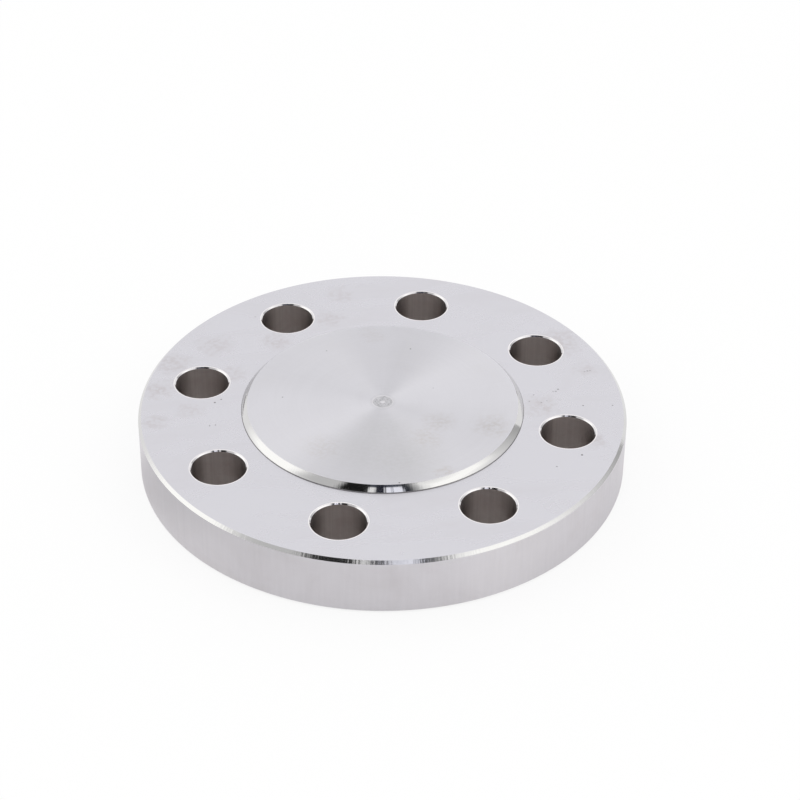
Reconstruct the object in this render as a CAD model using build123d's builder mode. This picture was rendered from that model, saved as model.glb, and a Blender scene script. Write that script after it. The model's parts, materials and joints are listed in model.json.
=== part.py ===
"""Raised-face blank flange, turned and drilled from one stainless steel forging.

The flange is a plain disc with a ring of bolt holes round a raised sealing face. It bolts
over a pipe or chamber port of the same bolt circle and closes it. Everything is one solid:
the disc, the bevelled raised face and the dimple that facing leaves at its centre are turned
as one section, and the bolt holes are drilled through it and broken at both mouths.

Frame: millimetres, +Z up through the raised face. The origin is the centre of the flat back.
The bolt holes straddle the X and Y centrelines, as the holes of a pipe flange do.
"""

import os

from build123d import *

# Disc
outer_diameter = 165.0
disc_thickness = 20.7  # from the back, where the nuts bear, to the face round the raised face
rim_chamfer = 1.0  # both edges of the outer diameter

# Raised face
raised_face_diameter = 91.7  # flat sealing face, inside its bevel
bevel_size = 1.8  # 45 degrees, so as wide as it is high
land_height = 0.1  # short straight wall under the bevel
root_radius = 0.2  # left by the tool's nose where the land meets the disc

# Bolt holes
bolt_circle_diameter = 127.0
bolt_hole_diameter = 18.0  # clears an M16 stud
bolt_hole_count = 8
hole_chamfer = 0.4  # both mouths

# Centre of the sealing face, where the facing tool ran out
dimple_diameter = 7.4
dimple_depth = 0.15
pip_diameter = 1.6
pip_height = 0.1  # above the dimple's floor, so the pip stays below the sealing face

# Radii and heights that follow from them
outer_radius = outer_diameter / 2
face_radius = raised_face_diameter / 2
land_radius = face_radius + bevel_size
land_foot = disc_thickness + root_radius
bevel_foot = land_foot + land_height
face_height = bevel_foot + bevel_size
dimple_radius = dimple_diameter / 2
dimple_floor = face_height - dimple_depth
pip_radius = pip_diameter / 2
pip_top = dimple_floor + pip_height
bolt_hole_radius = bolt_hole_diameter / 2
half_pitch = 180 / bolt_hole_count  # degrees, turns the ring of holes off the centrelines


with BuildPart() as flange:
    # Half section: out along the back, up the rim, in over the raised face, down the axis
    with BuildSketch(Plane.XZ):
        with BuildLine():
            back_and_rim = Polyline(
                (0, 0),
                (outer_radius - rim_chamfer, 0),
                (outer_radius, rim_chamfer),
                (outer_radius, disc_thickness - rim_chamfer),
                (outer_radius - rim_chamfer, disc_thickness),
                (land_radius + root_radius, disc_thickness),
            )
            root = TangentArc(
                back_and_rim @ 1,
                (land_radius, land_foot),
                tangent=(-1, 0),
            )
            bevel_and_face = Polyline(
                root @ 1,
                (land_radius, bevel_foot),
                (face_radius, face_height),
                (dimple_radius, face_height),
            )
            dimple = TangentArc((pip_radius, dimple_floor), bevel_and_face @ 1, tangent=(1, 0))
            pip = TangentArc((0, pip_top), dimple @ 0, tangent=(1, 0))
            Line(pip @ 0, back_and_rim @ 0)
        make_face()
    revolve(axis=Axis.Z)

    # Bolt holes, drilled right through, then broken at both mouths
    with Locations((0, 0, disc_thickness)):
        with PolarLocations(bolt_circle_diameter / 2, bolt_hole_count, start_angle=half_pitch):
            Hole(bolt_hole_radius, depth=disc_thickness)
    mouths = [
        edge
        for edge in flange.edges().filter_by(GeomType.CIRCLE)
        if abs(edge.radius - bolt_hole_radius) < 1e-6
    ]
    chamfer(mouths, hole_chamfer)

flange.part.label = "flange"

os.makedirs("parts", exist_ok=True)
export_step(flange.part, "parts/flange.step")
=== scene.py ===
"""Looks for a raised-face blank flange, turned and drilled from stainless steel.

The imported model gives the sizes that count: the outer diameter, the height, and the ring of
bolt holes. This script turns the same section at a finer resolution, drills it, gives every
machined surface its own finish, and stands the flange in a plain, softly lit white studio.
"""

import json
import logging
import math
from dataclasses import dataclass
from enum import Enum
from typing import Any, Iterable, Sequence

import bpy
from mathutils import Matrix, Vector

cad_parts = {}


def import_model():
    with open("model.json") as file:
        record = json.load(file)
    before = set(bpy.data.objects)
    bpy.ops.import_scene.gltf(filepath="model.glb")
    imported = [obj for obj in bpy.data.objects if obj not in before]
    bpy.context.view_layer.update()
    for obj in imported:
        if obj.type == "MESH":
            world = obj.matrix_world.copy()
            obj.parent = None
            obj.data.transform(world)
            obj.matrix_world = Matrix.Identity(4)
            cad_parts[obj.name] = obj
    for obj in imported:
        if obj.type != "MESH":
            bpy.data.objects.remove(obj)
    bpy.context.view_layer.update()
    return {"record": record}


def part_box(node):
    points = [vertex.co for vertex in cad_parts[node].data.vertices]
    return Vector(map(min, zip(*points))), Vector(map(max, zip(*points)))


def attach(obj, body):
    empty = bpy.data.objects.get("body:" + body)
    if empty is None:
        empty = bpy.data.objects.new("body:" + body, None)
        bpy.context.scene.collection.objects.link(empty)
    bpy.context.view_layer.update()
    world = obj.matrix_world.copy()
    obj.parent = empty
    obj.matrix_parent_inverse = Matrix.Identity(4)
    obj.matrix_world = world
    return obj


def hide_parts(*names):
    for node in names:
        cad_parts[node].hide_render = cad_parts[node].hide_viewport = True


log = logging.getLogger("blank_flange")

MM = 0.001
SHARP_ANGLE = math.radians(6)
ZONE = "zone"
GROOVE = "groove"
COVER = "cover"
WHITE = (1.0, 1.0, 1.0)
Colour = tuple[float, float, float]
Socket = bpy.types.NodeSocket
Point = tuple[float, float]


# --------------------------------------------------------------------------- node tree helpers


class Wiring:
    """Adds nodes to one node tree and joins them, so that the trees below read as formulas."""

    def __init__(self, tree: bpy.types.NodeTree) -> None:
        """Keeps the tree that every later call adds to."""
        self.tree = tree

    def add(self, kind: str, feeds: dict[str | int, Any] | None = None, **settings: Any) -> bpy.types.Node:
        """Adds one node.

        Args:
            kind: The node's Blender type.
            feeds: What goes into its inputs, by name or number: a socket to link, or a value.
            settings: Attributes of the node itself, such as its operation.

        Returns:
            The new node.
        """
        node = self.tree.nodes.new(kind)
        for name, value in settings.items():
            setattr(node, name, value)
        for key, value in (feeds or {}).items():
            self.feed(node.inputs[key], value)
        return node

    def feed(self, socket: Socket, value: Any) -> None:
        """Links a socket to an input, or sets the input's own value.

        Args:
            socket: The input.
            value: A socket to link, or a plain value.
        """
        if isinstance(value, Socket):
            self.tree.links.new(value, socket)
        else:
            socket.default_value = value

    def math(self, operation: str, *values: Any) -> Socket:
        """Does arithmetic on one to three values or sockets.

        Args:
            operation: The Math node's operation.
            values: Its inputs, in order.

        Returns:
            The result's socket.
        """
        return self.add("ShaderNodeMath", dict(enumerate(values)), operation=operation).outputs[0]

    def plus(self, first: Any, second: Any) -> Socket:
        """Adds two values."""
        return self.math("ADD", first, second)

    def minus(self, first: Any, second: Any) -> Socket:
        """Takes the second value from the first."""
        return self.math("SUBTRACT", first, second)

    def times(self, first: Any, second: Any) -> Socket:
        """Multiplies two values."""
        return self.math("MULTIPLY", first, second)

    def over(self, first: Any, second: Any) -> Socket:
        """Divides the first value by the second."""
        return self.math("DIVIDE", first, second)

    def vector(self, operation: str, *values: Any) -> bpy.types.Node:
        """Does vector arithmetic and returns the node, whose result is a vector or a value."""
        return self.add("ShaderNodeVectorMath", dict(enumerate(values)), operation=operation)

    def scale(self, vector: Any, factor: Any) -> Socket:
        """Multiplies a vector or a colour by one value.

        Args:
            vector: The vector or colour.
            factor: The value.

        Returns:
            The result's socket.
        """
        node = self.vector("SCALE", vector)
        self.feed(node.inputs["Scale"], factor)
        return node.outputs["Vector"]

    def join(self, x: Any, y: Any, z: Any) -> Socket:
        """Makes a vector of three values or sockets."""
        return self.add("ShaderNodeCombineXYZ", {0: x, 1: y, 2: z}).outputs[0]

    def split(self, vector: Socket) -> tuple[Socket, Socket, Socket]:
        """Takes a vector apart into its three sockets."""
        outputs = self.add("ShaderNodeSeparateXYZ", {0: vector}).outputs
        return outputs[0], outputs[1], outputs[2]

    def axis_distance(self, x: Any, y: Any) -> Socket:
        """How far a place lies from the Z axis."""
        return self.vector("LENGTH", self.join(x, y, 0.0)).outputs["Value"]

    def heading(self, x: Any, y: Any) -> Socket:
        """The direction out from the Z axis to a place, as a unit vector."""
        return self.vector("NORMALIZE", self.join(x, y, 0.0)).outputs["Vector"]

    def noise(self, place: Any, scale: Any, detail: float, **shape: float) -> bpy.types.Node:
        """Adds a noise texture.

        Args:
            place: Where it is read.
            scale: How many times it varies per metre.
            detail: How many finer layers it has.
            shape: Its Roughness or Distortion, where they aren't the usual ones.

        Returns:
            The node, whose first output is the noise as a value.
        """
        return self.add("ShaderNodeTexNoise", {"Vector": place, "Scale": scale, "Detail": detail, **shape})

    def ramp(self, value: Any, low: Any, high: Any, out_low: float = 0.0, out_high: float = 1.0) -> Socket:
        """Maps a value smoothly and clamped.

        Args:
            value: What is mapped.
            low: Where the result is out_low.
            high: Where the result is out_high.
            out_low: The result at low.
            out_high: The result at high.

        Returns:
            The result's socket.
        """
        feeds = {"Value": value, "From Min": low, "From Max": high, "To Min": out_low, "To Max": out_high}
        return self.add("ShaderNodeMapRange", feeds, interpolation_type="SMOOTHSTEP").outputs[0]

    def blend(self, share: Any, first: Any, second: Any) -> Socket:
        """Mixes two colours.

        Args:
            share: How much of the second colour shows, from 0 to 1.
            first: The first colour.
            second: The second colour.

        Returns:
            The mixed colour's socket.
        """
        node = self.add("ShaderNodeMix", data_type="RGBA")
        self.feed(node.inputs["Factor"], share)
        self.feed(node.inputs[6], first)
        self.feed(node.inputs[7], second)
        return node.outputs[2]


def show_mix(wire: Wiring, share: Any, first: bpy.types.Node, second: bpy.types.Node, kind: str) -> None:
    """Mixes two shaders and sends them to the tree's output.

    Args:
        wire: The tree's wiring.
        share: How much of the second shader shows, from 0 to 1.
        first: The first shader.
        second: The second shader.
        kind: The output node's Blender type.
    """
    mix = wire.add("ShaderNodeMixShader", {0: share, 1: first.outputs[0], 2: second.outputs[0]})
    wire.add(kind, {"Surface": mix.outputs[0]})


def new_group(
    name: str, kind: str, inputs: dict[str, tuple[str, Any]], outputs: dict[str, str]
) -> tuple[Wiring, Any, Any]:
    """Starts a node group with named sockets.

    Args:
        name: The group's name.
        kind: The type of its tree.
        inputs: Socket name to its short type and its default, or None for no default.
        outputs: Socket name to its short type.

    Returns:
        The wiring, the Group Input's outputs and the Group Output's inputs.
    """
    tree = bpy.data.node_groups.new(name, kind)
    for label, (short, default) in inputs.items():
        socket = tree.interface.new_socket(label, in_out="INPUT", socket_type="NodeSocket" + short)
        if default is not None:
            socket.default_value = default
    for label, short in outputs.items():
        tree.interface.new_socket(label, in_out="OUTPUT", socket_type="NodeSocket" + short)
    wiring = Wiring(tree)
    return wiring, wiring.add("NodeGroupInput").outputs, wiring.add("NodeGroupOutput").inputs


def new_material(name: str) -> tuple[bpy.types.Material, Wiring]:
    """Makes a material with an empty node tree.

    Args:
        name: The material's name.

    Returns:
        The material and the wiring of its tree.
    """
    made = bpy.data.materials.new(name)
    made.use_nodes = True
    made.node_tree.nodes.clear()
    return made, Wiring(made.node_tree)


def link_object(name: str, data: Any) -> bpy.types.Object:
    """Puts new data into the scene as an object.

    Args:
        name: The object's name.
        data: Its mesh, lamp or camera.

    Returns:
        The object.
    """
    made = bpy.data.objects.new(name, data)
    bpy.context.scene.collection.objects.link(made)
    return made


# --------------------------------------------------------------------------- surface effects


class Effect(Enum):
    """Shader groups that several finishes share."""

    TURNING = "turning_marks"
    STREAKS = "running_streaks"
    SMUDGES = "handling_smudges"
    # Painted reflection: the darker fan on the sealing face in front of its centre.
    FAN_SHADE = "painted_fan_shade"
    STAINS = "stains"
    PITS = "pits"
    BORE = "nearest_bolt_hole"


def build_turning_marks() -> None:
    """Makes the fine rings that a lathe leaves, as a height and as a tone.

    The rings follow a line across the surface: the distance from the axis on a face, the
    height on a wall, or both on a bevel. They drift a little round the part.
    """
    wire, given, out = new_group(
        Effect.TURNING.value,
        "ShaderNodeTree",
        {
            "Place": ("Vector", None),
            "Radial": ("Float", 1.0),
            "Axial": ("Float", 0.0),
            "Pitch": ("Float", 0.4 * MM),
        },
        {"Height": "Float", "Tone": "Float"},
    )
    fine_share, broad_share, broad_turns = 0.6, 0.4, 9.0
    x, y, z = wire.split(given["Place"])
    outward = wire.times(wire.axis_distance(x, y), given["Radial"])
    across = wire.plus(outward, wire.times(z, given["Axial"]))
    turns = wire.over(across, given["Pitch"])
    hx, hy, _ = wire.split(wire.heading(x, y))
    fine = wire.noise(wire.join(hx, hy, turns), 1.0, 2.0, Roughness=0.6).outputs[0]
    wide = wire.join(hx, hy, wire.over(turns, broad_turns))
    broad = wire.noise(wide, 1.0, 1.0).outputs[0]
    wire.feed(out["Height"], fine)
    wire.feed(out["Tone"], wire.plus(wire.times(fine, fine_share), wire.times(broad, broad_share)))


def build_smudges() -> None:
    """Makes soft, irregular patches, such as handling leaves on bare metal."""
    wire, given, out = new_group(
        Effect.SMUDGES.value,
        "ShaderNodeTree",
        {
            "Place": ("Vector", None),
            "Smear": ("Vector", (1.0, 1.0, 1.0)),
            "Patch Size": ("Float", 20 * MM),
            "Cover": ("Float", 0.4),
        },
        {"Mask": "Float"},
    )
    softness = 0.22
    frequency = wire.over(1.0, given["Patch Size"])
    smeared = wire.vector("MULTIPLY", given["Place"], given["Smear"]).outputs["Vector"]
    noise = wire.noise(smeared, frequency, 5.0, Roughness=0.62, Distortion=0.6).outputs[0]
    edge = wire.minus(1.0, given["Cover"])
    mask = wire.ramp(noise, wire.minus(edge, softness), wire.plus(edge, softness))
    wire.feed(out["Mask"], mask)


@dataclass(frozen=True)
class Spot:
    """A mark on the flange's top.

    Attributes:
        radius: Its distance from the axis, in millimetres.
        angle: Its angle round the axis from +X, in degrees.
        size: How far it reaches from its centre, in millimetres.
        strength: How strongly it shows, up to 1.
    """

    radius: float
    angle: float
    size: float
    strength: float

    @property
    def centre(self) -> Vector:
        """Its centre seen from above, in metres."""
        turn = math.radians(self.angle)
        return Vector((math.cos(turn), math.sin(turn), 0.0)) * self.radius * MM


STAIN_SPOTS = (
    Spot(77, 151, 9, 0.9),
    Spot(77, 163, 8, 1.0),
    Spot(76, 177, 7, 0.9),
    Spot(65, 172, 8, 0.6),
    Spot(69, 138, 10, 0.8),
    Spot(55, 150, 7, 0.8),
    Spot(71, 93, 8, 0.6),
    Spot(57, 99, 8, 0.7),
    Spot(54, 124, 8, 0.8),
    Spot(73, 22, 11, 1.0),
    Spot(74, 8, 8, 0.6),
    Spot(54, 351, 9, 0.9),
    Spot(73, 335, 6, 1.0),
    Spot(22, 318, 8, 0.7),
    Spot(25, 296, 8, 0.7),
    Spot(39, 330, 9, 0.8),
    Spot(44, 288, 5, 0.9),
    Spot(33, 222, 10, 0.5),
    Spot(40, 85, 7, 0.4),
)
# Painted reflection: darker patches on the sealing face in front of its centre, on the camera's side, where
# the turned face mirrors a dark fan.
FAN_SHADE_SPOTS = (
    Spot(17, 260, 16, 0.4),
    Spot(28, 254, 22, 0.4),
    Spot(32, 268, 22, 0.5),
)
DIMPLE_HALO = Spot(0, 0, 5, 0.2)
PIT_SPOTS = (
    DIMPLE_HALO,
    Spot(57, 168, 0.45, 0.8),
    Spot(55, 166, 0.40, 0.7),
    Spot(59, 181, 0.35, 0.6),
    Spot(57, 181, 0.35, 0.6),
    Spot(36, 113, 0.30, 0.5),
    Spot(34, 166, 0.33, 0.6),
    Spot(33, 63, 0.35, 0.7),
    Spot(19, 15, 0.28, 0.4),
    Spot(71, 120, 0.35, 0.4),
    Spot(59, 359, 0.45, 0.3),
    Spot(60, 359, 0.50, 0.4),
    Spot(61, 0, 0.50, 0.5),
    Spot(73, 7, 0.45, 0.3),
    Spot(74, 7, 0.50, 0.4),
    Spot(75, 7, 0.45, 0.3),
    Spot(50, 354, 0.35, 0.4),
    Spot(52, 358, 0.35, 0.5),
    Spot(54, 353, 0.40, 0.4),
    Spot(56, 354, 0.35, 0.3),
    Spot(68, 351, 0.38, 0.7),
    Spot(78, 351, 0.35, 0.6),
    Spot(71, 328, 0.45, 0.9),
    Spot(66, 320, 0.35, 0.6),
    Spot(45, 267, 0.38, 0.7),
)


def build_spots(effect: Effect, spots: Sequence[Spot], ragged: float, fade: float, broken: float) -> None:
    """Makes a group that masks a handful of placed marks.

    Args:
        effect: The effect that the group gives.
        spots: The marks.
        ragged: How far their outlines wander, in metres.
        fade: The share of a mark's size over which it fades out.
        broken: How far fine smears break the marks up, from 0 to 1.
    """
    wire, given, out = new_group(
        effect.value, "ShaderNodeTree", {"Place": ("Vector", None)}, {"Mask": "Float"}
    )
    wander_scale, smear_scale, smear_range = 260.0, 700.0, (0.38, 0.62)
    x, y, _ = wire.split(given["Place"])
    noise = wire.noise(given["Place"], wander_scale, 3.0).outputs["Color"]
    wander = wire.vector("SUBTRACT", noise, (0.5, 0.5, 0.5)).outputs["Vector"]
    flat = wire.vector("ADD", wire.join(x, y, 0.0), wire.scale(wander, ragged)).outputs["Vector"]
    mask: Any = 0.0
    for spot in spots:
        away = wire.vector("DISTANCE", flat, spot.centre).outputs["Value"]
        reach = spot.size * MM
        mask = wire.math("MAXIMUM", mask, wire.ramp(away, reach * (1 - fade), reach, spot.strength, 0.0))
    smears = wire.noise(given["Place"], smear_scale, 6.0).outputs[0]
    whole = wire.ramp(smears, *smear_range, 1.0 - broken, 1.0)
    wire.feed(out["Mask"], wire.times(mask, whole))


def build_streaks() -> None:
    """Makes faint streaks that run straight down a wall."""
    wire, given, out = new_group(
        Effect.STREAKS.value,
        "ShaderNodeTree",
        {"Place": ("Vector", None), "Fineness": ("Float", 60.0)},
        {"Tone": "Float"},
    )
    stretch = 0.8
    x, y, z = wire.split(given["Place"])
    hx, hy, _ = wire.split(wire.heading(x, y))
    place = wire.join(hx, hy, wire.times(z, stretch))
    wire.feed(out["Tone"], wire.noise(place, given["Fineness"], 2.0).outputs[0])


def build_nearest_hole() -> None:
    """Gives a point's place relative to the axis of the nearest bolt hole."""
    wire, given, out = new_group(
        Effect.BORE.value,
        "ShaderNodeTree",
        {"Place": ("Vector", None), "Circle Radius": ("Float", 60 * MM), "Count": ("Float", 8.0)},
        {"Local Place": "Vector", "Distance": "Float"},
    )
    x, y, z = wire.split(given["Place"])
    pitch = wire.over(math.tau, given["Count"])
    angle = wire.math("ARCTAN2", y, x)
    hole = wire.plus(wire.math("FLOOR", wire.over(angle, pitch)), 0.5)
    centre = wire.times(hole, pitch)
    centre_x = wire.times(wire.math("COSINE", centre), given["Circle Radius"])
    centre_y = wire.times(wire.math("SINE", centre), given["Circle Radius"])
    local_x = wire.minus(x, centre_x)
    local_y = wire.minus(y, centre_y)
    wire.feed(out["Local Place"], wire.join(local_x, local_y, z))
    wire.feed(out["Distance"], wire.axis_distance(local_x, local_y))


# --------------------------------------------------------------------------- finishes


@dataclass(frozen=True)
class SteelFinish:
    """One machined surface of the steel.

    Attributes:
        name: The material's name.
        colour: The clean metal's colour.
        stain: The colour where handling has dulled it.
        roughness: How far it blurs reflections.
        grain: How much further it blurs them across the tool marks than along them.
        radial: How far the tool marks follow the distance from the axis.
        axial: How far they follow the height.
        pitch: The spacing of the tool marks, in metres.
        relief: The depth of the tool marks, in metres.
        tone: How much the tool marks change the colour.
        streaks: How much the streaks that run across the tool marks change the colour.
        fineness: How many streaks there are.
        smudge: How strongly the smudges show.
        patch: The size of the smudges, in metres.
        smear: How the smudges are drawn out: the smaller a factor, the longer they are that way.
        grazed: How much of the light that skims it is thrown back, where 1 is all of a clean metal's.
        wear_and_fan_shade: How strongly the placed stains and pits show, and the painted reflection: a
            darker fan on the sealing face in front of its centre.
        lip_highlight: How strongly a painted highlight lightens the steel in a narrow band round the bolt
            holes' mouths.
        chatter: The depth of the marks that a trembling tool left across the turning, in metres.
        in_bores: Whether the marks run round the bolt holes' own axes.
    """

    name: str
    colour: Colour
    stain: Colour
    roughness: float
    grain: float
    radial: float = 1.0
    axial: float = 0.0
    pitch: float = 0.4 * MM
    relief: float = 0.002 * MM
    tone: float = 0.03
    streaks: float = 0.0
    fineness: float = 40.0
    smudge: float = 0.3
    patch: float = 20 * MM
    smear: tuple[float, float, float] = (1.0, 1.0, 1.0)
    grazed: float = 1.0
    wear_and_fan_shade: float = 0.0
    lip_highlight: float = 0.0
    chatter: float = 0.0
    in_bores: bool = False

    def material(self, flange: "BlankFlange") -> bpy.types.Material:
        """Builds the material.

        Args:
            flange: The piece that it is for, which gives the ring of holes.

        Returns:
            The finished material.
        """
        made, wire = new_material(self.name)
        place = wire.add("ShaderNodeTexCoord").outputs["Object"]
        ring = {"Place": place, "Circle Radius": flange.circle_radius, "Count": float(flange.hole_count)}
        hole = self._effect(wire, Effect.BORE, ring)
        turned_about = hole["Local Place"] if self.in_bores else place
        follow = {"Radial": self.radial, "Axial": self.axial, "Pitch": self.pitch}
        marks = self._effect(wire, Effect.TURNING, {"Place": turned_about, **follow})
        streaks = self._effect(wire, Effect.STREAKS, {"Place": turned_about, "Fineness": self.fineness})
        dulled = self._dulled(wire, place)
        colour = self._colour(wire, place, dulled)
        # Painted highlight: a near-white band round each bolt hole's mouth.
        if self.lip_highlight:
            mouth = flange.hole_radius + flange.hole_chamfer + flange.hole_lip
            band = (mouth + LIP_HIGHLIGHT_BAND[0], mouth + LIP_HIGHLIGHT_BAND[1])
            colour = wire.blend(wire.ramp(hole["Distance"], *band, self.lip_highlight, 0.0), colour, LIP_HIGHLIGHT_COLOUR)
        ring_tone = wire.times(wire.minus(marks["Tone"], 0.5), self.tone)
        streak_tone = wire.times(wire.minus(streaks["Tone"], 0.5), self.streaks)
        tone = wire.plus(1.0, wire.plus(ring_tone, streak_tone))
        relief = wire.times(marks["Height"], self.relief)
        height = wire.plus(relief, wire.times(streaks["Tone"], self.chatter))
        bump = wire.add("ShaderNodeBump", {"Height": height, "Distance": 1.0, "Strength": 1.0})
        feeds = {
            "Base Color": wire.scale(colour, tone),
            "Metallic": 1.0,
            "Specular Tint": (self.grazed, self.grazed, self.grazed, 1.0),
            "Roughness": wire.plus(self.roughness, wire.times(dulled, DULL_ROUGHNESS)),
            "Anisotropic": self.grain,
            "Anisotropic Rotation": 0.25,
            "Normal": bump.outputs["Normal"],
            "Tangent": wire.add("ShaderNodeAttribute", attribute_name=GROOVE).outputs["Vector"],
        }
        shader = wire.add("ShaderNodeBsdfPrincipled", feeds)
        wire.add("ShaderNodeOutputMaterial", {"Surface": shader.outputs[0]})
        return made

    def _dulled(self, wire: Wiring, place: Socket) -> Socket:
        """Finds where smudges and stains dull the metal.

        Args:
            wire: The material's wiring.
            place: Where the metal is looked at.

        Returns:
            How dull it is, from 0 to 1.
        """
        patches = {"Place": place, "Smear": self.smear, "Patch Size": self.patch}
        dulled = wire.times(self._effect(wire, Effect.SMUDGES, patches)["Mask"], self.smudge)
        if self.wear_and_fan_shade:
            dulled = wire.math("MAXIMUM", dulled, self._placed_marks(wire, Effect.STAINS, place))
        return dulled

    def _colour(self, wire: Wiring, place: Socket, dulled: Socket) -> Socket:
        """Colours the metal with its painted reflection fan, its dull places and its pits.

        Args:
            wire: The material's wiring.
            place: Where the metal is looked at.
            dulled: How dull it is there.

        Returns:
            The colour, before the tool marks tone it.
        """
        clean: Any = (*self.colour, 1.0)
        if self.wear_and_fan_shade:
            # Painted reflection: darkens the sealing face in front of its centre.
            clean = wire.blend(self._placed_marks(wire, Effect.FAN_SHADE, place), clean, FAN_SHADE_COLOUR)
        colour = wire.blend(dulled, clean, (*self.stain, 1.0))
        if self.wear_and_fan_shade:
            colour = wire.blend(self._placed_marks(wire, Effect.PITS, place), colour, PIT_COLOUR)
        return colour

    def _placed_marks(self, wire: Wiring, effect: Effect, place: Socket) -> Socket:
        """How strongly one kind of placed mark shows at a place."""
        return wire.times(self._effect(wire, effect, {"Place": place})["Mask"], self.wear_and_fan_shade)

    @staticmethod
    def _effect(wire: Wiring, effect: Effect, feeds: dict[str, Any]) -> Any:
        """Places a shared effect in a material.

        Args:
            wire: The material's wiring.
            effect: Which effect.
            feeds: What goes into its inputs, by name.

        Returns:
            Its outputs.
        """
        node = wire.add("ShaderNodeGroup", node_tree=bpy.data.node_groups[effect.value])
        for name, value in feeds.items():
            wire.feed(node.inputs[name], value)
        return node.outputs


class Zone(Enum):
    """The surfaces of the flange that are machined, and so finished, each in its own way."""

    BACK = 0
    BEVEL = 1
    RIM = 2
    FACE = 3
    SEAL = 4
    DISH = 5
    # Painted highlight: the dish's rim and the pip.
    PAINTED_GLINT = 6
    BORE = 7
    EDGE = 8
    # Painted shade: the crease where the bevel's foot meets the disc.
    ROOT = 9
    LIP = 10


PIT_COLOUR = (0.13, 0.12, 0.12, 1.0)
# Colour of the painted reflection fan on the sealing face.
FAN_SHADE_COLOUR = (0.64, 0.635, 0.64, 1.0)
# Colour and band of the painted highlight round the bolt holes' mouths.
LIP_HIGHLIGHT_COLOUR = (1.0, 0.97, 0.96, 1.0)
LIP_HIGHLIGHT_BAND = (0.12 * MM, 0.40 * MM)
DULL_ROUGHNESS = 0.08
STEEL = (0.682, 0.674, 0.717)
BRIGHT = (0.685, 0.680, 0.680)
DULL = (0.600, 0.572, 0.595)
FINISHES: dict[Zone, SteelFinish] = {
    Zone.BACK: SteelFinish(
        name="back_facing_steel", colour=STEEL, stain=DULL, roughness=0.30, grain=0.5,
        pitch=0.5 * MM, relief=0.004 * MM, tone=0.08,
    ),
    Zone.BEVEL: SteelFinish(
        name="bevel_steel", colour=BRIGHT, stain=(0.62, 0.61, 0.60), roughness=0.075, grain=0.4,
        axial=-1.0, pitch=0.25 * MM, relief=0.0002 * MM, smudge=0.1,
        chatter=0.008 * MM, fineness=70.0,
    ),
    Zone.EDGE: SteelFinish(
        name="rim_edge_steel", colour=BRIGHT, stain=(0.60, 0.585, 0.58), roughness=0.12, grain=0.3,
        axial=-1.0, pitch=0.25 * MM, relief=0.0002 * MM, smudge=0.2,
        chatter=0.03 * MM, fineness=110.0,
    ),
    # Painted shade: the dark colour stands for the shade in the crease at the bevel's foot, with darker
    # smudges in it.
    Zone.ROOT: SteelFinish(
        name="root_crease_shade_steel", colour=(0.26, 0.25, 0.26), stain=(0.10, 0.10, 0.10), roughness=0.30, grain=0.3,
        axial=1.0, smudge=0.5,
    ),
    Zone.RIM: SteelFinish(
        name="rim_steel", colour=(0.705, 0.683, 0.714), stain=(0.65, 0.62, 0.64), roughness=0.42, grain=0.9,
        radial=0.0, axial=1.0, pitch=0.3 * MM, relief=0.0006 * MM,
        streaks=0.08, fineness=60.0, smudge=0.6,
    ),
    # The faced steel carries the painted highlight round the bolt holes' mouths.
    Zone.FACE: SteelFinish(
        name="faced_steel", colour=STEEL, stain=DULL, roughness=0.27, grain=0.1,
        pitch=0.9 * MM, relief=0.0, tone=0.012, smudge=0.25, smear=(0.5, 1.4, 1.0), wear_and_fan_shade=1.0, lip_highlight=0.8,
    ),
    Zone.SEAL: SteelFinish(
        name="sealing_face_steel", colour=(0.765, 0.757, 0.797), stain=(0.70, 0.675, 0.68),
        roughness=0.44, grain=0.9, pitch=0.9 * MM, relief=0.0004 * MM, tone=0.06,
        streaks=0.02, fineness=24.0, smudge=0.12, wear_and_fan_shade=1.0,
    ),
    Zone.DISH: SteelFinish(
        name="dished_centre_steel", colour=(0.64, 0.635, 0.66), stain=(0.22, 0.215, 0.23),
        roughness=0.40, grain=0.4, pitch=0.6 * MM, tone=0.26, smudge=1.0, patch=0.45 * MM,
    ),
    # Painted highlight: lighter than the dish, standing for the glint of the dish's rim and the pip.
    Zone.PAINTED_GLINT: SteelFinish(
        name="painted_glint_steel", colour=(0.74, 0.73, 0.76), stain=DULL, roughness=0.30, grain=0.0,
        relief=0.0, tone=0.0, smudge=0.6, patch=0.9 * MM,
    ),
    Zone.LIP: SteelFinish(
        name="hole_lip_steel", colour=(0.76, 0.745, 0.76), stain=DULL, roughness=0.09, grain=0.0,
        relief=0.0, tone=0.0, smudge=0.1,
    ),
    Zone.BORE: SteelFinish(
        name="drilled_steel", colour=(0.57, 0.525, 0.51), stain=(0.50, 0.435, 0.425),
        roughness=0.29, grain=0.92, radial=0.0, axial=1.0, pitch=0.35 * MM, tone=0.10,
        streaks=0.30, fineness=12.0, smudge=0.9, patch=7 * MM, grazed=0.2, in_bores=True,
    ),
}


# --------------------------------------------------------------------------- the flange


def arc(start: Point, end: Point, centre: Point, steps: int) -> list[Point]:
    """Lists the points of the shorter arc between two points, both ends included.

    Args:
        start: Where it starts.
        end: Where it ends.
        centre: The centre it runs about.
        steps: How many straight pieces it is made of.

    Returns:
        Its points.
    """
    first = math.atan2(start[1] - centre[1], start[0] - centre[0])
    last = math.atan2(end[1] - centre[1], end[0] - centre[0])
    turn = (last - first + math.pi) % math.tau - math.pi
    radius = math.dist(start, centre)
    angles = [first + turn * i / steps for i in range(steps + 1)]
    return [(centre[0] + radius * math.cos(a), centre[1] + radius * math.sin(a)) for a in angles]


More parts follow.
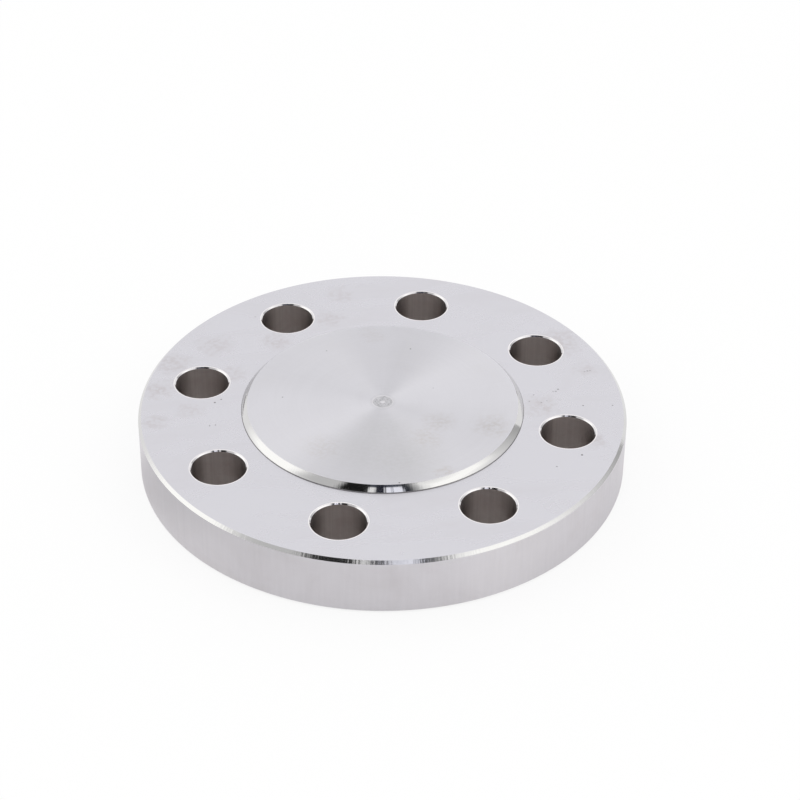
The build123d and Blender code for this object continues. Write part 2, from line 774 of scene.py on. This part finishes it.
@dataclass
class BlankFlange:
    """The turned and drilled flange, one piece of steel.

    Attributes:
        outer_radius: Radius of the rim.
        height: From the flat back to the sealing face.
        circle_radius: Radius of the circle that the bolt holes lie on.
        hole_radius: Radius of a bolt hole.
        hole_count: How many bolt holes there are.
        rim_chamfer: Size of the chamfers on both edges of the rim.
        face_radius: Radius of the flat sealing face.
        bevel: Size of the bevel round the sealing face.
        bevel_crown: How much fuller the bevel is at its middle than a straight cut.
        land: Height of the straight wall under the bevel.
        root: Radius where that wall meets the disc.
        hole_chamfer: Size of the flat chamfers on a bolt hole's mouths.
        hole_lip: Width of the softened edge outside each of those chamfers.
        dimple_radius: Radius of the hollow at the centre of the sealing face.
        dimple_depth: Depth of that hollow.
        pip_radius: Radius of the pip in the hollow.
        pip_height: Height of the pip above the hollow's floor.
        turn_steps: Divisions of the turned shape round its axis.
        hole_steps: Divisions of a bolt hole round its axis.
        root_steps: Divisions of the root radius.
        bevel_steps: Divisions of the crowned bevel.
        dish_steps: Divisions of the hollow, from its rim to the pip.
        pip_steps: Divisions of the pip, from its foot to the axis.
    """

    outer_radius: float
    height: float
    circle_radius: float
    hole_radius: float
    hole_count: int
    rim_chamfer: float = 1.0 * MM
    face_radius: float = 45.85 * MM
    bevel: float = 1.8 * MM
    bevel_crown: float = 0.055 * MM
    land: float = 0.1 * MM
    root: float = 0.2 * MM
    hole_chamfer: float = 0.37 * MM
    hole_lip: float = 0.12 * MM
    dimple_radius: float = 3.7 * MM
    dimple_depth: float = 0.15 * MM
    pip_radius: float = 0.8 * MM
    pip_height: float = 0.1 * MM
    turn_steps: int = 512
    hole_steps: int = 128
    root_steps: int = 5
    bevel_steps: int = 4
    dish_steps: int = 14
    pip_steps: int = 8

    @property
    def thickness(self) -> float:
        """Thickness of the disc, without the raised face."""
        return self.height - self.bevel - self.land - self.root

    def turned_section(self) -> list[tuple[Point, Zone]]:
        """Lists the half section from the back's centre round to the sealing face's centre.

        Returns:
            Each point as (radius, height), with the surface that runs from it to the next.
        """
        r, t, c = self.outer_radius, self.thickness, self.rim_chamfer
        wall = self.face_radius + self.bevel
        foot = t + self.root + self.land
        section = [((0.0, 0.0), Zone.BACK), ((r - c, 0.0), Zone.EDGE), ((r, c), Zone.RIM)]
        section += [((r, t - c), Zone.EDGE), ((r - c, t), Zone.FACE)]
        centre = (wall + self.root, t + self.root)
        rounding = arc((wall + self.root, t), (wall, t + self.root), centre, self.root_steps)
        # The root radius takes the painted crease shade.
        section += [(point, Zone.ROOT) for point in rounding]
        section += [(point, Zone.BEVEL) for point in self.crowned_bevel(wall, foot)]
        section += [((self.face_radius, self.height), Zone.SEAL)]
        return section + self.centre_section()

    def centre_section(self) -> list[tuple[Point, Zone]]:
        """Lists the half section of the hollow at the sealing face's centre and of the pip in it.

        Returns:
            Each point as (radius, height), with the surface that runs from it to the next.
        """
        floor = self.height - self.dimple_depth
        top = floor + self.pip_height
        span = self.dimple_radius - self.pip_radius
        dish = (span**2 + self.dimple_depth**2) / (2 * self.dimple_depth)
        rim, foot = (self.dimple_radius, self.height), (self.pip_radius, floor)
        hollow = arc(rim, foot, (self.pip_radius, floor + dish), self.dish_steps)
        crown = (self.pip_radius**2 + self.pip_height**2) / (2 * self.pip_height)
        pip = arc(foot, (0.0, top), (0.0, top - crown), self.pip_steps)
        # The dish's rim and the pip take the painted highlight.
        section = [(point, Zone.PAINTED_GLINT) for point in hollow[:2]]
        section += [(point, Zone.DISH) for point in hollow[2:-1]]
        section += [(point, Zone.PAINTED_GLINT) for point in hollow[-1:] + pip[1:]]
        return section

    def crowned_bevel(self, wall: float, foot: float) -> list[Point]:
        """Lists the bevel's points from its foot up, a hair fuller at its middle than a straight cut.

        Args:
            wall: The radius of the bevel's foot.
            foot: The height of the bevel's foot.

        Returns:
            The points, without the one at the sealing face's edge.
        """
        inward, upward = self.face_radius - wall, self.height - foot
        points = []
        for step in range(self.bevel_steps):
            share = step / self.bevel_steps
            fuller = self.bevel_crown * 4 * share * (1 - share) * math.sqrt(0.5)
            points.append((wall + inward * share + fuller, foot + upward * share + fuller))
        return points

    def drilled_section(self) -> list[tuple[Point, Zone]]:
        """Lists the half section of the space that one bolt hole takes, from its lower end to its upper.

        Returns:
            Each point as (radius, height), with the surface that runs from it to the next.
        """
        past, r, c, t = 0.1 * MM, self.hole_radius, self.hole_chamfer, self.thickness
        slopes = [math.radians(degrees) for degrees in (35, 25, 15)]
        step = self.hole_lip / (len(slopes) + 1)
        rises = [step * math.tan(slope) for slope in slopes]
        drop = sum(rises)
        top = [(r, t - drop - c), (r + c, t - drop)]
        for rise in rises:
            top.append((top[-1][0] + step, top[-1][1] + rise))
        top.append((top[-1][0] + past / math.tan(slopes[-1]), t + past))
        foot = [(x, t - z) for x, z in reversed(top)]
        section = [((0.0, -past), Zone.BORE)] + [(point, Zone.LIP) for point in foot[:-1]]
        section += [(foot[-1], Zone.BORE)] + [(point, Zone.LIP) for point in top[:-1]]
        section += [(top[-1], Zone.BORE), ((0.0, t + past), Zone.BORE)]
        return section

    def build(self) -> bpy.types.Object:
        """Turns and drills the flange and gives it its finishes.

        Returns:
            The finished piece, a plain mesh.
        """
        piece = self._section_object("turned_flange", self.turned_section())
        drill = self._section_object("drill", self.drilled_section())
        tree = machining_tree()
        modifier = piece.modifiers.new("machining", "NODES")
        modifier.node_group = tree
        values: dict[str, Any] = {
            "Turn Steps": self.turn_steps,
            "Hole Steps": self.hole_steps,
            "Hole Count": self.hole_count,
            "Circle Radius": self.circle_radius,
            "Drill": drill,
        }
        values |= {finish_socket(zone): finish.material(self) for zone, finish in FINISHES.items()}
        keys = {item.name: item.identifier for item in tree.interface.items_tree if item.in_out == "INPUT"}
        for name, value in values.items():
            modifier[keys[name]] = value
        bpy.context.view_layer.update()
        evaluated = piece.evaluated_get(bpy.context.evaluated_depsgraph_get())
        finished = bpy.data.meshes.new_from_object(evaluated)
        piece.modifiers.clear()
        piece.data = finished
        empty = [slot for slot, material in enumerate(finished.materials) if material is None]
        for slot in reversed(empty):
            finished.materials.pop(index=slot)
        bpy.data.objects.remove(drill)
        return piece

    @staticmethod
    def _section_object(name: str, section: Sequence[tuple[Point, Zone]]) -> bpy.types.Object:
        """Makes an object that holds a half section as a line of points, each with its zone.

        Args:
            name: The object's name.
            section: The points and their zones.

        Returns:
            The object.
        """
        mesh = bpy.data.meshes.new(name)
        points = [(radius, 0.0, height) for (radius, height), _ in section]
        mesh.from_pydata(points, [(i, i + 1) for i in range(len(points) - 1)], [])
        zones = mesh.attributes.new(ZONE, "INT", "POINT")
        zones.data.foreach_set("value", [zone.value for _, zone in section])
        return link_object(name, mesh)


def finish_socket(zone: Zone) -> str:
    """Names the input that takes a zone's finish."""
    return zone.name.title() + " Finish"


def sample_point(wire: Wiring, geometry: Socket, value: Socket, index: Socket, kind: str) -> Socket:
    """Reads a value off one point of a geometry.

    Args:
        wire: The tree's wiring.
        geometry: The geometry.
        value: The value to read there.
        index: Which point.
        kind: The value's data type.

    Returns:
        The value's socket.
    """
    feeds = {"Geometry": geometry, "Value": value, "Index": index}
    node = wire.add("GeometryNodeSampleIndex", data_type=kind, domain="POINT")
    for name, fed in feeds.items():
        wire.feed(node.inputs[name], fed)
    return node.outputs["Value"]


def store(wire: Wiring, geometry: Socket, name: str, value: Socket, kind: str, domain: str) -> Socket:
    """Stores a value on a geometry as a named attribute.

    Args:
        wire: The tree's wiring.
        geometry: The geometry.
        name: The attribute's name.
        value: The value to store.
        kind: The value's data type.
        domain: Whether it is stored on points, faces or corners.

    Returns:
        The geometry with the attribute.
    """
    node = wire.add("GeometryNodeStoreNamedAttribute", data_type=kind, domain=domain)
    for key, fed in {"Geometry": geometry, "Name": name, "Value": value}.items():
        wire.feed(node.inputs[key], fed)
    return node.outputs[0]


def row_of(wire: Wiring, index: Socket, row_length: Any) -> Socket:
    """Finds the row of a grid that an index lies in, safe from rounding."""
    return wire.math("FLOOR", wire.over(wire.plus(index, 0.5), row_length))


def revolve_tree() -> bpy.types.NodeTree:
    """Makes the group that turns a half section about Z into a closed mesh with zones on its faces.

    Returns:
        The group.
    """
    wire, given, out = new_group(
        "revolve_section",
        "GeometryNodeTree",
        {"Section": ("Geometry", None), "Steps": ("Int", 64)},
        {"Mesh": "Geometry"},
    )
    section = given["Section"]
    count = wire.add("GeometryNodeAttributeDomainSize", {"Geometry": section}).outputs["Point Count"]
    ring_size = wire.plus(given["Steps"], 1)
    grid = wire.add("GeometryNodeMeshGrid", {"Vertices X": count, "Vertices Y": ring_size}).outputs["Mesh"]
    index = wire.add("GeometryNodeInputIndex").outputs[0]
    position = wire.add("GeometryNodeInputPosition").outputs[0]
    row = row_of(wire, index, ring_size)
    turn = wire.minus(index, wire.times(row, ring_size))
    angle = wire.times(wire.over(turn, given["Steps"]), math.tau)
    radius, _, height = wire.split(sample_point(wire, section, position, row, "FLOAT_VECTOR"))
    across = wire.times(wire.math("COSINE", angle), radius)
    along = wire.times(wire.math("SINE", angle), radius)
    place = wire.join(across, along, height)
    turned = wire.add("GeometryNodeSetPosition", {"Geometry": grid, "Position": place}).outputs[0]
    zone = wire.add("GeometryNodeInputNamedAttribute", {"Name": ZONE}, data_type="INT").outputs[0]
    face_zone = sample_point(wire, section, zone, row_of(wire, index, given["Steps"]), "INT")
    zoned = store(wire, turned, ZONE, face_zone, "INT", "FACE")
    x, y, _ = wire.split(position)
    around = wire.heading(wire.times(y, -1.0), x)
    grooved = store(wire, zoned, GROOVE, around, "FLOAT_VECTOR", "CORNER")
    closed = wire.add("GeometryNodeMergeByDistance", {"Geometry": grooved, "Distance": 0.001 * MM})
    outward = wire.add("GeometryNodeFlipFaces", {"Mesh": closed.outputs[0]})
    wire.feed(out["Mesh"], outward.outputs[0])
    return wire.tree


def drill_ring(wire: Wiring, given: Any, drill: Socket) -> Socket:
    """Sets the drill at every bolt hole's place.

    Args:
        wire: The tree's wiring.
        given: The tree's inputs.
        drill: The drill's mesh.

    Returns:
        The ring of drills.
    """
    sizes = {"Vertices": given["Hole Count"], "Radius": given["Circle Radius"]}
    ring = wire.add("GeometryNodeMeshCircle", sizes).outputs["Mesh"]
    half_pitch = wire.over(math.pi, given["Hole Count"])
    turn = {"Geometry": ring, "Rotation": wire.join(0.0, 0.0, half_pitch)}
    places = wire.add("GeometryNodeTransform", turn).outputs[0]
    holes = wire.add("GeometryNodeInstanceOnPoints", {"Points": places, "Instance": drill}).outputs[0]
    return wire.add("GeometryNodeRealizeInstances", {"Geometry": holes}).outputs[0]


def shade_crisply(wire: Wiring, mesh: Socket) -> Socket:
    """Shades a mesh smooth, apart from its sharp edges.

    Args:
        wire: The tree's wiring.
        mesh: The mesh.

    Returns:
        The shaded mesh.
    """
    smooth = wire.add("GeometryNodeSetShadeSmooth", {"Geometry": mesh}, domain="FACE").outputs[0]
    bend = wire.add("GeometryNodeInputMeshEdgeAngle").outputs["Unsigned Angle"]
    sharp = wire.add("FunctionNodeCompare", {"A": bend, "B": SHARP_ANGLE}, operation="GREATER_THAN")
    feeds = {"Geometry": smooth, "Selection": sharp.outputs[0], "Shade Smooth": False}
    return wire.add("GeometryNodeSetShadeSmooth", feeds, domain="EDGE").outputs[0]


def machining_tree() -> bpy.types.NodeTree:
    """Makes the tree that turns the flange, drills its ring of holes and sets each zone's finish.

    Returns:
        The tree.
    """
    inputs: dict[str, tuple[str, Any]] = {
        "Section": ("Geometry", None),
        "Turn Steps": ("Int", 256),
        "Hole Steps": ("Int", 64),
        "Hole Count": ("Int", 8),
        "Circle Radius": ("Float", 60 * MM),
        "Drill": ("Object", None),
    }
    inputs |= {finish_socket(zone): ("Material", None) for zone in Zone}
    wire, given, out = new_group("machine_flange", "GeometryNodeTree", inputs, {"Mesh": "Geometry"})
    revolve = revolve_tree()
    drill_line = wire.add("GeometryNodeObjectInfo", {"Object": given["Drill"]}).outputs["Geometry"]
    turned = []
    for section, steps in ((given["Section"], "Turn Steps"), (drill_line, "Hole Steps")):
        node = wire.add("GeometryNodeGroup", node_tree=revolve)
        wire.feed(node.inputs["Section"], section)
        wire.feed(node.inputs["Steps"], given[steps])
        turned.append(node.outputs["Mesh"])
    blank, drill = turned
    drilled = wire.add("GeometryNodeMeshBoolean", operation="DIFFERENCE", solver="EXACT")
    wire.feed(drilled.inputs["Mesh 1"], blank)
    wire.feed(drilled.inputs["Mesh 2"], drill_ring(wire, given, drill))
    crisp = shade_crisply(wire, drilled.outputs["Mesh"])
    geometry = wire.add("GeometryNodeRealizeInstances", {"Geometry": crisp}).outputs[0]
    zone = wire.add("GeometryNodeInputNamedAttribute", {"Name": ZONE}, data_type="INT").outputs[0]
    for which in Zone:
        chosen = wire.add("FunctionNodeCompare", data_type="INT", operation="EQUAL")
        wire.feed(chosen.inputs[2], zone)
        wire.feed(chosen.inputs[3], which.value)
        finish = given[finish_socket(which)]
        feeds = {"Geometry": geometry, "Selection": chosen.outputs[0], "Material": finish}
        geometry = wire.add("GeometryNodeSetMaterial", feeds).outputs[0]
    wire.feed(out["Mesh"], geometry)
    return wire.tree


# --------------------------------------------------------------------------- the studio


@dataclass(frozen=True)
class Direction:
    """A direction out from the flange, in degrees.

    Attributes:
        azimuth: How far round from the camera's side, positive to the camera's right.
        elevation: How far up from the floor.
    """

    azimuth: float
    elevation: float

    def unit(self, camera_azimuth: float) -> Vector:
        """The direction as a unit vector in the flange's frame, given where the camera stands in it."""
        a, e = math.radians(self.azimuth + camera_azimuth), math.radians(self.elevation)
        return Vector((math.sin(a) * math.cos(e), -math.cos(a) * math.cos(e), math.sin(e)))


@dataclass(frozen=True)
class Lamp:
    """A soft rectangular lamp that faces the flange.

    Attributes:
        name: The lamp's name.
        towards: Where it hangs, seen from the flange.
        width: Its width as an angle, in degrees.
        height: Its height as an angle, in degrees.
        brightness: What it adds to the wall behind it, where white is 1.
        colour: Its colour.
    """

    name: str
    towards: Direction
    width: float
    height: float
    brightness: float
    colour: Colour


@dataclass(frozen=True)
class Card:
    """A curved card that shows only in the metal's reflections.

    Attributes:
        name: The card's name.
        azimuths: Where it starts and ends, in degrees from the camera's side.
        elevations: Its lower and upper edge, in degrees.
        brightness: How bright it looks, where white is 1.
        colour: Its colour.
        fades: Over how many degrees it fades in and out at its first, last, lower and upper edge.
    """

    name: str
    azimuths: tuple[float, float]
    elevations: tuple[float, float]
    brightness: float
    colour: Colour
    fades: tuple[float, float, float, float]

    def cover(self, azimuth: float, elevation: float) -> float:
        """Finds how far the card hides the wall behind it.

        Args:
            azimuth: The direction's azimuth, in degrees.
            elevation: The direction's elevation, in degrees.

        Returns:
            Its cover there, from 0 to 1.
        """
        inside = (
            azimuth - self.azimuths[0],
            self.azimuths[1] - azimuth,
            elevation - self.elevations[0],
            self.elevations[1] - elevation,
        )
        return max(0.0, min(1.0, *(depth / fade for depth, fade in zip(inside, self.fades))))


@dataclass
class Studio:
    """The plain white studio: its floor, its soft lamps, the cards that the metal mirrors, and the camera.

    Attributes:
        flange_radius: The radius of the flange that stands in it.
        camera_azimuth: Where the camera stands, in degrees from -Y towards +X.
        camera_elevation: How far it looks down, in degrees.
        camera_roll: How far it leans, in degrees.
        camera_distance: How far it stands from the flange.
        lens: Its focal length, in millimetres.
        sensor: The width of its sensor, in millimetres.
        aim_right: How far its aim passes the flange's origin to the right.
        aim_up: How far its aim passes the origin above.
        panel_distance: How far the lamps and the nearest card stand from the flange.
        card_gap: How much farther out each card stands than the one before it.
        card_steps: Divisions of a card along each side.
        floor_size: The floor's length and width.
        world_level: How strongly the room lights things evenly.
        floor_colour: The floor's colour.
        floor_white: How white the open floor shows, over its own shaded colour.
        floor_under: How far under the rim the floor keeps its plain colour.
        floor_nook: How bright the metal sees the floor close to the rim.
        nook_reach: How far out from the rim that holds.
        floor_shade: How bright the metal sees the floor to the left.
        shade_edge: Where that shade is full and where it ends to the left, in flange radii.
        shade_end: Where it starts to end and has ended towards the back, in flange radii.
        lamps: The lamps.
        cards: The cards, nearest first.
    """

    flange_radius: float
    camera_azimuth: float = -10.5
    camera_elevation: float = 35.76
    camera_roll: float = -0.54
    camera_distance: float = 818.6 * MM
    lens: float = 107.15
    sensor: float = 36.0
    aim_right: float = 6.04 * MM
    aim_up: float = 19.07 * MM
    panel_distance: float = 1.5
    card_gap: float = 0.01
    card_steps: int = 48
    floor_size: float = 40.0
    world_level: float = 0.97
    floor_colour: Colour = (0.97, 0.97, 0.97)
    floor_white: float = 0.82
    floor_under: float = 4 * MM
    floor_nook: float = 0.82
    nook_reach: float = 25 * MM
    floor_shade: float = 0.56
    shade_edge: tuple[float, float] = (-1.1, -0.92)
    shade_end: tuple[float, float] = (-0.3, 0.1)

    lamps: tuple[Lamp, ...] = (
        Lamp("left_lamp", Direction(-93, 40), 34, 34, 0.38, (1.0, 0.99, 0.94)),
        Lamp("right_lamp", Direction(62, 42), 34, 34, 0.42, (1.0, 0.99, 0.94)),
    )
    cards: tuple[Card, ...] = (
        Card("window_bar", (8, 11), (38, 60), 0.12, (0.6, 0.65, 1.0), (2, 2, 3, 3)),
        Card("black_card", (-40, -11), (38, 63), 0.01, WHITE, (6, 1, 3, 5)),
        Card("blue_card", (-6, 4), (38, 63), 0.03, (0.55, 0.6, 1.0), (1, 2, 3, 5)),
        Card("dark_card", (18, 36), (38, 63), 0.04, (0.7, 0.75, 1.0), (1.5, 12, 3, 5)),
        Card("window", (3, 20.5), (38, 55.5), 1.2, (0.90, 0.91, 1.0), (1, 1, 3, 3)),
        Card("window_head", (-14, 24), (53, 66), 0.10, (0.7, 0.75, 1.0), (2, 6, 2, 4)),
        Card("left_flag", (-75, -34), (30, 80), 0.66, WHITE, (14, 4, 8, 8)),
        Card("left_softbox", (-126, -66), (8, 52), 1.41, (1.0, 1.0, 0.975), (16, 14, 12, 12)),
        Card("right_softbox", (34, 102), (26, 55), 1.38, (1.0, 1.0, 0.975), (12, 18, 10, 12)),
        Card("low_bar", (40, 60), (19, 42), 2.2, (1.0, 1.0, 0.98), (4, 10, 4, 6)),
        Card("side_window", (38, 76), (1, 34), 1.15, (1.0, 1.0, 0.98), (9, 14, 2, 10)),
        Card("right_flag", (96, 128), (0, 36), 0.50, WHITE, (28, 1, 1, 10)),
        Card("left_back_flag", (-180, -140), (0, 26), 0.68, WHITE, (10, 12, 1, 10)),
        Card("overhead_light", (-40, 40), (60, 89), 1.1, WHITE, (12, 12, 6, 1)),
        Card("overhead_flag", (-150, 150), (54, 89), 0.66, WHITE, (25, 25, 12, 1)),
    )

    def build(self) -> None:
        """Sets up the whole studio."""
        self.place_camera()
        self.light_world()
        self.lay_floor()
        for lamp in self.lamps:
            self.hang_lamp(lamp)
        for order, card in enumerate(self.cards):
            self.hang_card(card, self.panel_distance + order * self.card_gap)
        bpy.context.scene.view_settings.view_transform = "Standard"

    def place_camera(self) -> None:
        """Looks down on the flange from its front, a little from the left."""
        camera = bpy.data.cameras.new("camera")
        camera.sensor_width = self.sensor
        camera.lens = self.lens
        holder = link_object("camera", camera)
        back = Direction(0, self.camera_elevation).unit(self.camera_azimuth)
        level = (-back).to_track_quat("-Z", "Y")
        turned = level.to_matrix() @ Matrix.Rotation(math.radians(-self.camera_roll), 3, "Z")
        right, up = turned.col[0], turned.col[1]
        holder.location = back * self.camera_distance + right * self.aim_right + up * self.aim_up
        holder.rotation_euler = turned.to_euler()
        bpy.context.scene.camera = holder

    def light_world(self) -> None:
        """Fills the room with even light, and shows a plain white wall to the camera and in reflections."""
        world = bpy.data.worlds.new("studio")
        world.use_nodes = True
        world.node_tree.nodes.clear()
        wire = Wiring(world.node_tree)
        seen = white_where_seen(wire)
        even = wire.add("ShaderNodeBackground", {"Color": (*WHITE, 1.0), "Strength": self.world_level})
        wall = wire.add("ShaderNodeBackground", {"Color": (*WHITE, 1.0), "Strength": 1.0})
        show_mix(wire, seen, even, wall, "ShaderNodeOutputWorld")
        bpy.context.scene.world = world

    def lay_floor(self) -> None:
        """Lays a plain pale floor that keeps the flange's soft shadow."""
        half = self.floor_size / 2
        mesh = bpy.data.meshes.new("floor")
        outline = [(-half, -half, 0.0), (half, -half, 0.0), (half, half, 0.0), (-half, half, 0.0)]
        mesh.from_pydata(outline, [], [(0, 1, 2, 3)])
        material, wire = new_material("pale_floor")
        place = wire.add("ShaderNodeTexCoord").outputs["Object"]
        x, y, _ = wire.split(place)
        radius = wire.axis_distance(x, y)
        under = self.flange_radius - self.floor_under
        open_floor = wire.ramp(radius, under, self.flange_radius, 0.0, self.floor_white)
        share = wire.times(white_where_seen(wire), open_floor)
        white = self._floor_light(wire, place, radius)
        plain = wire.add("ShaderNodeBsdfDiffuse", {"Color": (*self.floor_colour, 1.0)})
        glow = wire.add("ShaderNodeEmission", {"Color": (*WHITE, 1.0), "Strength": white})
        show_mix(wire, share, plain, glow, "ShaderNodeOutputMaterial")
        mesh.materials.append(material)
        link_object("floor", mesh)

    def _floor_light(self, wire: Wiring, place: Socket, radius: Socket) -> Socket:
        """Finds how bright the floor looks: white to the camera, and shaded round the flange to the metal.

        Args:
            wire: The floor material's wiring.
            place: A place on the floor.
            radius: How far that place lies from the flange's axis.

        Returns:
            The floor's brightness there.
        """
        rim = self.flange_radius
        near = wire.ramp(radius, rim, rim + self.nook_reach, self.floor_nook, 1.0)
        rightward = Direction(90, 0).unit(self.camera_azimuth)
        side = wire.vector("DOT_PRODUCT", place, rightward).outputs["Value"]
        full, gone = self.shade_edge
        leftward = wire.ramp(side, full * rim, gone * rim, self.floor_shade, 1.0)
        backward = Direction(180, 0).unit(self.camera_azimuth)
        depth = wire.vector("DOT_PRODUCT", place, backward).outputs["Value"]
        full, gone = self.shade_end
        behind = wire.ramp(depth, full * rim, gone * rim)
        lit = wire.times(near, wire.math("MAXIMUM", leftward, behind))
        return wire.math("MAXIMUM", lit, wire.add("ShaderNodeLightPath").outputs["Is Camera Ray"])

    def hang_lamp(self, lamp: Lamp) -> None:
        """Hangs a soft lamp that lights the floor; the metal mirrors the cards instead.

        Args:
            lamp: The lamp.
        """
        out = lamp.towards.unit(self.camera_azimuth)
        light = bpy.data.lights.new(lamp.name, "AREA")
        light.shape = "RECTANGLE"
        light.size = 2 * self.panel_distance * math.tan(math.radians(lamp.width / 2))
        light.size_y = 2 * self.panel_distance * math.tan(math.radians(lamp.height / 2))
        light.color = lamp.colour
        light.energy = lamp.brightness * math.pi * light.size * light.size_y
        holder = link_object(lamp.name, light)
        holder.location = out * self.panel_distance
        holder.rotation_euler = out.to_track_quat("Z", "Y").to_euler()
        holder.visible_camera = False
        holder.visible_glossy = False

    def hang_card(self, card: Card, distance: float) -> None:
        """Hangs a card as a patch of a dome round the flange.

        Args:
            card: The card.
            distance: The dome's radius.
        """
        steps = self.card_steps
        points, cover = [], []
        for row in range(steps + 1):
            elevation = card.elevations[0] + (card.elevations[1] - card.elevations[0]) * row / steps
            for column in range(steps + 1):
                azimuth = card.azimuths[0] + (card.azimuths[1] - card.azimuths[0]) * column / steps
                points.append(Direction(azimuth, elevation).unit(self.camera_azimuth) * distance)
                cover.append(card.cover(azimuth, elevation))
        wide = steps + 1
        starts = [row * wide + column for row in range(steps) for column in range(steps)]
        mesh = bpy.data.meshes.new(card.name)
        mesh.from_pydata(points, [], [(i, i + 1, i + wide + 1, i + wide) for i in starts])
        mesh.attributes.new(COVER, "FLOAT", "POINT").data.foreach_set("value", cover)
        material, wire = new_material(card.name)
        glow = wire.add("ShaderNodeEmission", {"Color": (*card.colour, 1.0), "Strength": card.brightness})
        share = wire.add("ShaderNodeAttribute", attribute_name=COVER).outputs["Fac"]
        open_air = wire.add("ShaderNodeBsdfTransparent")
        show_mix(wire, share, open_air, glow, "ShaderNodeOutputMaterial")
        mesh.materials.append(material)
        hung = link_object(card.name, mesh)
        hung.visible_camera = False
        hung.visible_diffuse = False
        hung.visible_shadow = False


def white_where_seen(wire: Wiring) -> Socket:
    """Tells the rays that see things from the rays that light them.

    Args:
        wire: The wiring of the material or the world.

    Returns:
        1 for the camera's rays and for reflected and refracted ones, otherwise 0.
    """
    path = wire.add("ShaderNodeLightPath").outputs
    reflected = wire.math("MAXIMUM", path["Is Glossy Ray"], path["Is Transmission Ray"])
    return wire.math("MAXIMUM", path["Is Camera Ray"], reflected)


# --------------------------------------------------------------------------- the making


def mount(record: dict[str, Any], name: str) -> dict[str, Any]:
    """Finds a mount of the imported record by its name."""
    return next(m for m in record["mounts"] if m["name"] == name)


def main() -> None:
    """Builds the flange, dresses it and stands it in the studio."""
    logging.basicConfig(level=logging.INFO, format="%(name)s: %(message)s")
    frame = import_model()
    low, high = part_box("flange")
    ring = mount(frame["record"], "bolt_holes")["dims"]
    for make in (build_turning_marks, build_streaks, build_smudges, build_nearest_hole):
        make()
    # Painted reflection fan on the sealing face, in front of its centre.
    build_spots(Effect.FAN_SHADE, FAN_SHADE_SPOTS, ragged=4 * MM, fade=0.9, broken=0.3)
    build_spots(Effect.STAINS, STAIN_SPOTS, ragged=9 * MM, fade=0.9, broken=0.75)
    build_spots(Effect.PITS, PIT_SPOTS, ragged=0.3 * MM, fade=0.5, broken=0.0)
    flange = BlankFlange(
        outer_radius=(high.x - low.x) / 2,
        height=high.z - low.z,
        circle_radius=ring["pcd_mm"] / 2 * MM,
        hole_radius=ring["hole_r_mm"] * MM,
        hole_count=ring["count"],
    )
    piece = flange.build()
    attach(piece, "root")
    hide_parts("flange")
    log.info("%s: %d faces, %d finishes", piece.name, len(piece.data.polygons), len(piece.data.materials))
    Studio(flange_radius=flange.outer_radius).build()


if __name__ == "__main__":
    main()
